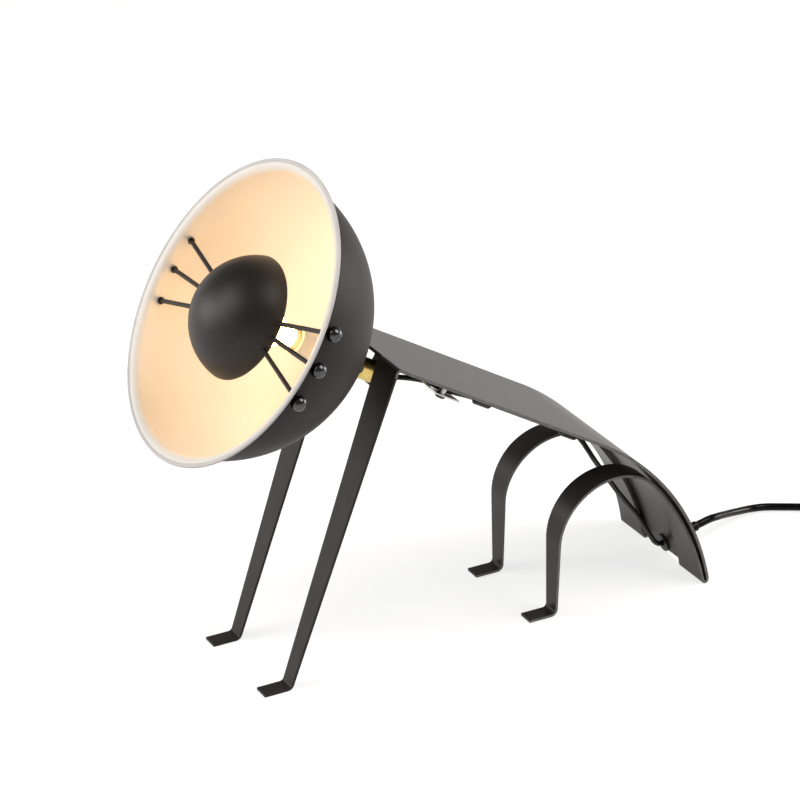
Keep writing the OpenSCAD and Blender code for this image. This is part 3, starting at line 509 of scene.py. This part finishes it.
def turnClampScrew(settings):
    low, crown = settings["under"], settings["crown"]
    headR, headH = settings["head"]
    socketR, socketH = settings["socket"]
    shankR, shankH = settings["shank"]
    tipR, tipH = settings["tip"]
    foot, end = low - headH, low + shankH
    outline = [(0, foot + socketH), (socketR, foot + socketH), (socketR, foot), (headR - crown, foot)]
    outline += arc((headR - crown, foot + crown), crown, -90, 0, edgeSteps)
    outline += [(headR, low), (shankR, low), (shankR, end - tipH), (shankR - tipR, end), (0, end)]
    place = platePlace @ Matrix.Translation(mm(settings["place"]))
    return turnedPiece("clampScrew", outline, settings["steps"], place)


finishOff(turnClampScrew(screwSettings), "blackNickel", "body", "black_nickel", "clamp_screw")

# the tail's bush and the cord's tapered sleeve
grommetSettings = {
    "bore": 2.1, "boreEdge": 0.3, "barrel": 5, "lip": 6.5, "outside": 1.6, "lipEdge": 0.7,
    "inside": -2.16, "innerLip": 1.4, "innerEdge": 0.6, "steps": 40,
}
reliefSettings = {"start": 1.6, "length": 24, "root": 4.7, "tip": 3.5, "ribs": 6, "steps": 40}
ribSettings = {
    "plain": 6, "first": 3.5, "depth": 0.7, "rootEdge": 0.3, "tipEdge": (0.4, 0.5),
    "groove": (0.35, 1.0, 1.35),  # floor's start and end, and the groove's far edge
}


def turnGrommet(settings):
    lip, top, low = settings["lip"], settings["outside"], settings["inside"]
    bore, barrel, boreEdge = settings["bore"], settings["barrel"], settings["boreEdge"]
    lipEdge, innerEdge = settings["lipEdge"], settings["innerEdge"]
    end = low - settings["innerLip"]
    outline = [(bore, top - boreEdge), (bore + boreEdge, top)]
    outline += arc((lip - lipEdge, top - lipEdge), lipEdge, 90, 0, edgeSteps)
    outline += [(lip, 0), (barrel, 0), (barrel, low), (lip, low)]
    outline += arc((lip - innerEdge, end + innerEdge), innerEdge, 0, -90, edgeSteps)
    outline += [(bore + boreEdge, end), (bore, end + boreEdge), (bore, top - boreEdge)]
    return turnedPiece("tailGrommet", outline, settings["steps"], holePlace)


def ribbedOutline(settings, rib):
    start, length = settings["start"], settings["length"]
    pitch = (length - rib["plain"]) / settings["ribs"]
    floorStart, floorEnd, farEdge = rib["groove"]
    tipR, tipH = rib["tipEdge"]

    def widthAt(z):
        return settings["root"] + (settings["tip"] - settings["root"]) * z / length

    outline = [(0, start), (widthAt(0) - rib["rootEdge"], start), (widthAt(0), start + rib["rootEdge"])]
    for i in range(settings["ribs"]):
        z = rib["first"] + i * pitch
        floorR = widthAt(z) - rib["depth"]
        outline += [(widthAt(z), start + z), (floorR, start + z + floorStart), (floorR, start + z + floorEnd),
                    (widthAt(z + farEdge), start + z + farEdge)]
    end = start + length
    outline += [(widthAt(length), end - tipH), (widthAt(length) - tipR, end), (0, end)]
    return outline


def turnRelief(name, settings, place):
    return turnedPiece(name, ribbedOutline(settings, ribSettings), settings["steps"], place)


strainRelief = turnRelief("strainRelief", reliefSettings, holePlace)
finishOff(turnGrommet(grommetSettings), "blackPlastic", "body", "black_plastic", "tail_grommet")
finishOff(strainRelief, "blackPvc", "body", "black_pvc", "strain_relief")
print("bushes done")

# neck: brass fork and tongue, nut, washer and pivot
neckSettings = {"edge": 0.25, "nutEdge": 0.3, "washerEdge": 0.15, "screwEdge": 0.3}
dressedCopy("neck_fork", "neckFork", "satinBrass", "neck", "brass", neckSettings["edge"])
dressedCopy("neck_tongue", "neckTongue", "satinBrass", "head", "brass", neckSettings["edge"])
dressedCopy("neck_nut", "neckNut", "satinBrass", "neck", "brass", neckSettings["nutEdge"])
dressedCopy("neck_washer", "neckWasher", "brightSteel", "neck", "bright_steel", neckSettings["washerEdge"])
dressedCopy("pivot_nut", "pivotNut", "blackNickel", "neck", "black_nickel", neckSettings["nutEdge"])
dressedCopy("pivot_screw", "pivotScrew", "blackNickel", "neck", "black_nickel", neckSettings["screwEdge"])
print("neck done")

# shade: spun bowl, white inside, with a flange pressed out in a small fillet and a rolled bead
shadeSettings = {
    "centre": 111.185, "outer": 96.2, "inner": 95.4, "hole": 5.1, "rim": 102.785, "flange": 1.0,
    "fillet": 5.0, "filletSteps": (6, 8), "bead": (101.4, 1.0), "beadOpen": 150, "beadSteps": 14,
    "backward": -0.3, "round": 48, "steps": 144,
}
shadePaints = ("shadeBlack", "whiteEnamel", "shadedRimEnamel")


def paintInside(bowl, settings, throat, halfWall):
    cutLow = settings["rim"] - settings["fillet"]
    halfBowl = (settings["outer"] + settings["inner"]) / 2
    for face in bowl.data.polygons:
        x, y, z = face.center * 1000
        wide = math.hypot(x, y)
        bright = "whiteEnamel"
        if z < cutLow:
            lit = math.hypot(wide, z - settings["centre"]) < halfBowl
        elif wide > throat:
            lit = face.normal.z > settings["backward"]
            # the flange and bead take the darker copy of the white paint, painted shade
            bright = "shadedRimEnamel"
        else:
            lit = math.hypot(wide - throat, z - cutLow) > halfWall
        face.material_index = shadePaints.index(bright if lit else "shadeBlack")


def turnShade(settings):
    middle = (0, settings["centre"])
    outer, inner, bend = settings["outer"], settings["inner"], settings["fillet"]
    beadR, beadSize = settings["bead"]
    back = settings["rim"] - settings["flange"]
    cutLow = settings["rim"] - bend

    def angleAt(radius, z):
        return math.degrees(math.asin((z - settings["centre"]) / radius))

    def holeAngle(radius):
        return -math.degrees(math.acos(settings["hole"] / radius))

    def widthAt(radius, z):
        return math.sqrt(radius ** 2 - (z - settings["centre"]) ** 2)

    throat = widthAt(inner, cutLow) + bend
    neckOff = throat - widthAt(outer, cutLow)
    outerSteps, innerSteps = settings["filletSteps"]
    opening = settings["beadOpen"]
    outline = arc(middle, outer, holeAngle(outer), angleAt(outer, cutLow), settings["round"])
    outline += arc((throat, cutLow), neckOff, 180, 90, outerSteps)[1:]
    outline += arc((beadR, back + settings["flange"] / 2), beadSize, -opening, opening, settings["beadSteps"])
    outline += arc((throat, cutLow), bend, 90, 180, innerSteps)
    outline += arc(middle, inner, angleAt(inner, cutLow), holeAngle(inner), settings["round"])[1:]
    outline += [outline[0]]
    bowl = turned("shade", outline, settings["steps"])
    for paint in shadePaints:
        bowl.data.materials.append(finishes[paint])
    paintInside(bowl, settings, throat, (neckOff + bend) / 2)
    settle(bowl, headPlace)
    smoothOff(bowl, spunAngle)
    return bowl


shade = turnShade(shadeSettings)
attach(shade, "head")
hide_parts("shade")
print("shade done")

# nose cap: spun dome with a rounded edge
noseSettings = {
    "centre": 81.885, "outer": 42.6, "inner": 41.6, "edge": 91.285, "lip": 0.5, "lipArc": (200, 340),
    "lipSteps": 6, "round": 36, "steps": 112,
}


def turnNose(settings):
    middle = (0, settings["centre"])
    inner, outer, lip = settings["inner"], settings["outer"], settings["lip"]
    lipZ = settings["edge"] + lip
    rise = lipZ - settings["centre"]
    lipR = math.sqrt(((inner + outer) / 2) ** 2 - rise ** 2)
    lipStart, lipEnd = settings["lipArc"]

    def angleAt(radius):
        return math.degrees(math.asin(rise / radius))

    outline = arc(middle, inner, 90, angleAt(inner), settings["round"])
    outline += arc((lipR, lipZ), lip, lipStart, lipEnd, settings["lipSteps"])
    outline += arc(middle, outer, angleAt(outer), 90, settings["round"])
    return turnedPiece("noseCap", outline, settings["steps"], headPlace, spunAngle)


finishOff(turnNose(noseSettings), "noseBlack", "head", "body_black", "nose_cap")

# whiskers: a rod, its knob and its nuts, modelled once and put round the head
whiskerSettings = {
    "height": 93.885, "angles": (16, 2.4, -11.2, 168.8, 182.4, 196),
    "rod": (36.71, 99.32, 1.5), "rodEdge": 0.3, "rodSteps": 24,
    "knobSeat": 96.655, "knobCentre": 99.819, "knobR": 5.1, "knobBore": 1.55,
    "knobRing": (4.5, 1.0, 0.2),  # radius, thickness, softened edge
    "knobGroove": (3.7, 0.05, 0.45),  # radius, start and end above the ring
    "ballStart": 0.6, "ballSteps": 22, "knobSteps": 40,
    "nut": (1.55, 2.5, 1.6), "nutEdges": (0.2, 0.35), "nutSteps": 24,
    "wallNuts": (91.689, 95.055), "noseNut": 37.311,
}


def turnRod(settings):
    start, end, radius = settings["rod"]
    edge = settings["rodEdge"]
    outline = [(0, start), (radius - edge, start), (radius, start + edge), (radius, end - edge),
               (radius - edge, end), (0, end)]
    return turned("rodBlank", outline, settings["rodSteps"])


def turnKnob(settings):
    seat, centre, radius = settings["knobSeat"], settings["knobCentre"], settings["knobR"]
    ring, thick, edge = settings["knobRing"]
    groove, grooveStart, grooveEnd = settings["knobGroove"]
    top = seat + thick
    start = math.degrees(math.asin((top + settings["ballStart"] - centre) / radius))
    outline = [(settings["knobBore"], seat), (ring - edge, seat), (ring, seat + edge), (ring, top - edge),
               (ring - edge, top), (groove, top + grooveStart), (groove, top + grooveEnd)]
    outline += arc((0, centre), radius, start, 90, settings["ballSteps"])
    return turned("knobBlank", outline, settings["knobSteps"])


def turnSmallNut(settings):
    bore, outer, height = settings["nut"]
    boreEdge, outerEdge = settings["nutEdges"]
    outline = [(bore, boreEdge), (bore + boreEdge, 0), (outer - outerEdge, 0), (outer, outerEdge),
               (outer, height - outerEdge), (outer - outerEdge, height), (bore + boreEdge, height),
               (bore, height - boreEdge), (bore, boreEdge)]
    return turned("nutBlank", outline, settings["nutSteps"])


def roundTheHead(angle, settings, out=0):
    hub = headPlace @ Matrix.Translation(mm((0, 0, settings["height"])))
    return hub @ turnedBy(angle, "Z") @ turnedBy(90, "Y") @ Matrix.Translation(mm((0, 0, out)))


def setWhiskers(settings):
    rodBlank, knobBlank, nutBlank = turnRod(settings), turnKnob(settings), turnSmallNut(settings)
    wallSet, noseSet = [], []
    for i, angle in enumerate(settings["angles"]):
        rod = copied(rodBlank, f"whiskerRod{i + 1}")
        settle(rod, roundTheHead(angle, settings))
        smoothOff(rod)
        finishOff(rod, "noseBlack", "head", "body_black", f"whisker_rod_{i + 1}")
        knob = copied(knobBlank, f"ballKnob{i + 1}")
        settle(knob, roundTheHead(angle, settings))
        smoothOff(knob)
        finishOff(knob, "blackNickel", "head", "black_nickel", f"ball_knob_{i + 1}")
        for place in settings["wallNuts"]:
            wallSet.append(copied(nutBlank, "wallNut"))
            settle(wallSet[-1], roundTheHead(angle, settings, place))
        noseSet.append(copied(nutBlank, "noseNut"))
        settle(noseSet[-1], roundTheHead(angle, settings, settings["noseNut"]))
    for blank in (rodBlank, knobBlank, nutBlank):
        bpy.data.objects.remove(blank)
    wallNuts, noseNuts = joined(wallSet, "wallNuts"), joined(noseSet, "noseNuts")
    smoothOff(wallNuts)
    smoothOff(noseNuts)
    finishOff(wallNuts, "blackNickel", "head", "black_nickel", "wall_nuts")
    finishOff(noseNuts, "brightSteel", "head", "bright_steel", "nose_nuts")


setWhiskers(whiskerSettings)
print("nose and whiskers done")

# lamp holder and bulb
bulbSettings = {
    "neck": (6.35, 47.33), "neckEdge": 0.3, "straight": 1, "flareSteps": 10, "ball": (71.33, 12),
    "meet": 63.6, "collar": 53.6, "ballSteps": 26, "steps": 56, "contactEdge": 0.3,
}
capSettings = {
    "start": 29.33, "length": 18, "radius": 6.95, "foot": 2.2, "shoulder": 0.9, "skirt": (0.4, 0.8),
    "threads": 5, "firstThread": 1.6, "pitch": 2.83, "steps": 48,
    "thread": ((0.75, 0), (0.2, 0.5), (0, 1.1), (0.2, 1.7), (0.75, 2.3)),  # depth, and place along the cap
}
holderSettings = {
    "start": 19.73, "length": 31, "outer": 10.25, "socket": 8.55, "base": 6, "bore": 5.05, "wire": 2.4,
    "floor": 2, "footEdge": 0.8, "rimEdge": 0.9, "socketEdge": 0.5, "grooves": (6, 10.5, 15),
    "groove": ((0, 0), (0.7, 0.5), (0.7, 1.7), (0, 2.2)),  # depth, and place along the holder
    "steps": 56, "nutEdge": 0.4, "shellEdge": 0.2, "contactEdge": 0.2,
}


def turnBulb(settings):
    neckR, neckZ = settings["neck"]
    ballZ, ballR = settings["ball"]
    meet, edge = settings["meet"], settings["neckEdge"]
    meetR = math.sqrt(ballR ** 2 - (ballZ - meet) ** 2)
    slope = (ballZ - meet) / meetR
    flareZ = neckZ + settings["straight"]
    reach = meet - flareZ
    outline = [(0, neckZ), (neckR - edge, neckZ), (neckR, neckZ + edge)]
    for i in range(settings["flareSteps"] + 1):
        u = i / settings["flareSteps"]
        flare = neckR + (meetR - neckR) * eased(u)
        outline.append((flare + (u ** 3 - u ** 2) * slope * reach, flareZ + u * reach))
    ballStart = math.degrees(math.asin((meet - ballZ) / ballR))
    outline += arc((0, ballZ), ballR, ballStart, 90, settings["ballSteps"])[1:]
    return turnedPiece("bulbGlass", outline, settings["steps"], headPlace, spunAngle)


def turnCap(settings):
    start, radius, shoulder = settings["start"], settings["radius"], settings["shoulder"]
    end = start + settings["length"]
    skirtIn, skirtH = settings["skirt"]
    outline = [(0, start), (radius - settings["foot"], start), (radius - shoulder, start + shoulder)]
    for i in range(settings["threads"]):
        z = start + settings["firstThread"] + i * settings["pitch"]
        outline += [(radius - deep, z + along) for deep, along in settings["thread"]]
    outline += [(radius - skirtIn, end - skirtH), (radius - skirtIn, end), (0, end)]
    return turnedPiece("bulbCap", outline, settings["steps"], headPlace)


def turnHolder(settings):
    start, outer, bore = settings["start"], settings["outer"], settings["bore"]
    wire, socket = settings["wire"], settings["socket"]
    footEdge, rimEdge, socketEdge = settings["footEdge"], settings["rimEdge"], settings["socketEdge"]
    top = start + settings["length"]
    floor = start + settings["base"]
    under = floor - settings["floor"]
    outline = [(wire, under), (bore, under), (bore, start), (outer - footEdge, start),
               (outer, start + footEdge)]
    for place in settings["grooves"]:
        outline += [(outer - deep, start + place + along) for deep, along in settings["groove"]]
    outline += [(outer, top - rimEdge), (outer - rimEdge, top), (socket + socketEdge, top),
                (socket, top - socketEdge), (socket, floor), (wire, floor), (wire, under)]
    return turnedPiece("holderBody", outline, settings["steps"], headPlace)


def dullCollar(glass, settings):
    glass.data.materials.append(finishes["holderCeramic"])
    toHead = headPlace.inverted()
    for face in glass.data.polygons:
        face.material_index = int((toHead @ face.center).z * 1000 < settings["collar"])


bulbGlass = finishOff(turnBulb(bulbSettings), "frostedGlass", "head", "frosted_glass", "bulb_glass")
dullCollar(bulbGlass, bulbSettings)
finishOff(turnCap(capSettings), "brightSteel", "head", "bright_steel", "bulb_cap")
finishOff(turnHolder(holderSettings), "holderCeramic", "head", "holder", "holder_body")
dressedCopy("shade_nut", "shadeNut", "brightSteel", "head", "bright_steel", holderSettings["nutEdge"])
dressedCopy("holder_shell", "holderShell", "satinBrass", "head", "brass", holderSettings["shellEdge"])
dressedCopy("holder_contact", "holderContact", "satinBrass", "head", "brass", holderSettings["contactEdge"])
dressedCopy("bulb_contact", "bulbContact", "satinBrass", "head", "brass", bulbSettings["contactEdge"])
print("holder and bulb done")

# in-line switch; its rounded edges have a width, a number of faces and the least angle that is rounded
switchSettings = {"edge": (1.2, 3, 60), "rockerEdge": (0.7, 3, 60), "contactEdge": 0.3, "screwEdge": 0.2}


def blackSwitch(node, name, body, edge):
    return dressedCopy(node, name, "blackPlastic", body, "black_plastic", *edge)


switchBase = blackSwitch("switch_base", "switchBase", "body", switchSettings["edge"])
switchCover = blackSwitch("switch_cover", "switchCover", "body", switchSettings["edge"])
switchRocker = blackSwitch("switch_rocker", "switchRocker", "rocker", switchSettings["rockerEdge"])
switchContacts = dressedCopy("switch_contacts", "switchContacts", "satinBrass", "body", "brass",
                             switchSettings["contactEdge"])
switchScrews = dressedCopy("switch_screws", "switchScrews", "brightSteel", "body", "bright_steel",
                           switchSettings["screwEdge"])
print("switch done")

# plug: a rounded body with grip grooves, a ribbed sleeve and two pins
plugPlace = Matrix.Translation(mm(cordSettings["plugStart"])) @ turnedBy(90, "X")
plugSettings = {
    "start": 22, "length": 36, "width": 34, "height": 19.4, "edge": 0.4, "slack": 0.1, "sideFaces": 9,
    "grips": (8, 12, 16, 20), "gripWidth": 1.6, "gripDepth": 0.8,
    "upright": 0.9, "level": 0.5,  # the least z of an edge along the plug, and of a face across it
}
plugReliefSettings = {"start": 0, "length": 22, "root": 3.5, "tip": 5.1, "ribs": 5, "steps": 40}
pinSettings = {"start": 52, "end": 77, "radius": 2, "apart": 19, "tip": 1.6, "tipFrom": 12, "tipSteps": 6,
               "steps": 28}


def makePlugBody(settings):
    letGo()
    bpy.ops.mesh.primitive_cube_add(size=1)
    body = bpy.context.object
    body.name = "plugBody"
    body.scale = mm((settings["width"], settings["height"], settings["length"]))
    body.location = mm((0, 0, settings["start"] + settings["length"] / 2))
    bpy.ops.object.transform_apply(location=True, rotation=True, scale=True)
    bpy.ops.object.mode_set(mode="EDIT")
    shape = bmesh.from_edit_mesh(body.data)
    for edge in shape.edges:
        way = (edge.verts[0].co - edge.verts[1].co).normalized()
        edge.select = abs(way.z) > settings["upright"]
    bmesh.update_edit_mesh(body.data)
    bpy.ops.mesh.bevel(offset=(settings["height"] / 2 - settings["slack"]) / 1000,
                       segments=settings["sideFaces"], affect="EDGES", clamp_overlap=True)
    for grip in settings["grips"]:
        for cut in (grip, grip + settings["gripWidth"]):
            bpy.ops.mesh.select_all(action="SELECT")
            bpy.ops.mesh.bisect(plane_co=mm((0, 0, settings["start"] + cut)), plane_no=(0, 0, 1))
    shape = bmesh.from_edit_mesh(body.data)
    for face in shape.faces:
        z = face.calc_center_median().z * 1000 - settings["start"]
        side = abs(face.normal.z) < settings["level"]
        face.select = side and any(g < z < g + settings["gripWidth"] for g in settings["grips"])
    bmesh.update_edit_mesh(body.data)
    bpy.ops.mesh.extrude_region_shrink_fatten(
        TRANSFORM_OT_shrink_fatten={"value": -settings["gripDepth"] / 1000})
    bpy.ops.mesh.select_all(action="SELECT")
    bpy.ops.mesh.normals_make_consistent(inside=False)
    bpy.ops.object.mode_set(mode="OBJECT")
    softenEdges(body, settings["edge"])
    settle(body, plugPlace)
    smoothOff(body)
    return body


def turnPin(settings, side):
    radius, start, end = settings["radius"], settings["start"], settings["end"]
    outline = [(0, start), (radius, start), (radius, end - settings["tip"])]
    outline += arc((0, end - radius), radius, settings["tipFrom"], 90, settings["tipSteps"])
    place = plugPlace @ Matrix.Translation(mm((side * settings["apart"] / 2, 0, 0)))
    return turnedPiece("plugPin", outline, settings["steps"], place)


plugBody = makePlugBody(plugSettings)
plugRelief = turnRelief("plugRelief", plugReliefSettings, plugPlace)
plugPins = joined([turnPin(pinSettings, -1), turnPin(pinSettings, 1)], "plugPins")
coilTie = copyOf("coil_tie", "coilTie", coilSettings["tieEdge"])
finishOff(plugBody, "blackPvc", "body", "black_pvc", "plug_body")
finishOff(plugRelief, "blackPvc", "body", "black_pvc", "plug_relief")
finishOff(plugPins, "brightSteel", "body", "bright_steel", "plug_pins")
finishOff(coilTie, "blackPlastic", "body", "black_plastic", "coil_tie")
print("plug done")

# cords ride on the body and stand for their solids
finishOff(cordRun, "blackPvc", "body", "black_pvc", "cord_run")
finishOff(cordRest, "blackPvc", "body", "black_pvc", "cord_link", "cord_coil")
finishOff(innerLead, "blackPlastic", "body", "black_plastic", "lead")

# pale floor, studio light
stageSettings = {"floorSize": 16, "floorGlow": 0.74, "floorLight": (1, 1, 1),
                 "floorColour": (0.42, 0.42, 0.42), "floorRoughness": 0.9}
skySettings = {"horizon": 1.0, "overhead": 0.18, "from": 0.06, "to": 0.28, "tint": (1, 0.98, 0.96)}
lampSettings = {
    "keyBox": {"place": (-0.3, -1.65, 1.55), "aim": (0, -0.1, 0.2), "size": (1.2, 1.6), "power": 22},
    "leftBox": {"place": (-1.2, -1.8, 0.7), "aim": (0, -0.1, 0.2), "size": (1.3, 0.8), "power": 15},
    "rearBox": {"place": (0.8, 0.9, 1.75), "aim": (0, 0, 0.15), "size": (1.3, 1.3), "power": 22},
    "tailBox": {"place": (0.25, 2.0, 0.42), "aim": (0, -0.05, 0.25), "size": (1.0, 0.7), "power": 15},
}
lampTint = (1, 0.97, 0.94)


def addStage(settings):
    letGo()
    bpy.ops.mesh.primitive_plane_add(size=settings["floorSize"])
    floor = bpy.context.object
    floor.name = "floor"
    finish, shader = newFinish("paleFloor")
    rays = addNode(finish, "ShaderNodeLightPath").outputs
    shown = rays["Is Camera Ray"]
    for ray in ("Is Glossy Ray", "Is Transmission Ray"):
        either = addNode(finish, "ShaderNodeMath")
        either.operation = "MAXIMUM"
        join(finish, shown, either.inputs[0])
        join(finish, rays[ray], either.inputs[1])
        shown = either.outputs[0]
    glow = addNode(finish, "ShaderNodeMath")
    glow.operation = "MULTIPLY"
    glow.inputs[1].default_value = settings["floorGlow"]
    join(finish, shown, glow.inputs[0])
    join(finish, glow.outputs[0], shader.inputs["Emission Strength"])
    shader.inputs["Emission Color"].default_value = (*settings["floorLight"], 1)
    shader.inputs["Base Color"].default_value = (*settings["floorColour"], 1)
    shader.inputs["Roughness"].default_value = settings["floorRoughness"]
    shader.inputs["Specular IOR Level"].default_value = 0
    floor.data.materials.append(finish)


def addSky(settings):
    sky = bpy.data.worlds.new("studioSky")
    scene.world = sky
    sky.use_nodes = True
    tree = sky.node_tree
    background = tree.nodes["Background"]
    background.inputs["Color"].default_value = (*settings["tint"], 1)
    spots = tree.nodes.new("ShaderNodeTexCoord")
    parts = tree.nodes.new("ShaderNodeSeparateXYZ")
    level = tree.nodes.new("ShaderNodeMapRange")
    for end, value in (("From Min", "from"), ("From Max", "to"),
                       ("To Min", "horizon"), ("To Max", "overhead")):
        level.inputs[end].default_value = settings[value]
    tree.links.new(spots.outputs["Generated"], parts.inputs["Vector"])
    tree.links.new(parts.outputs["Z"], level.inputs["Value"])
    tree.links.new(level.outputs["Result"], background.inputs["Strength"])


def addLamps(lamps):
    for name, lamp in lamps.items():
        letGo()
        place = Vector(lamp["place"])
        turn = (Vector(lamp["aim"]) - place).to_track_quat("-Z", "Y").to_euler()
        bpy.ops.object.light_add(type="AREA", location=place, rotation=turn)
        light = bpy.context.object
        light.name = name
        light.data.shape = "RECTANGLE"
        light.data.size, light.data.size_y = lamp["size"]
        light.data.energy = lamp["power"]
        light.data.color = lampTint


addStage(stageSettings)
addSky(skySettings)
addLamps(lampSettings)
scene.view_settings.view_transform = "Standard"
print("stage done")
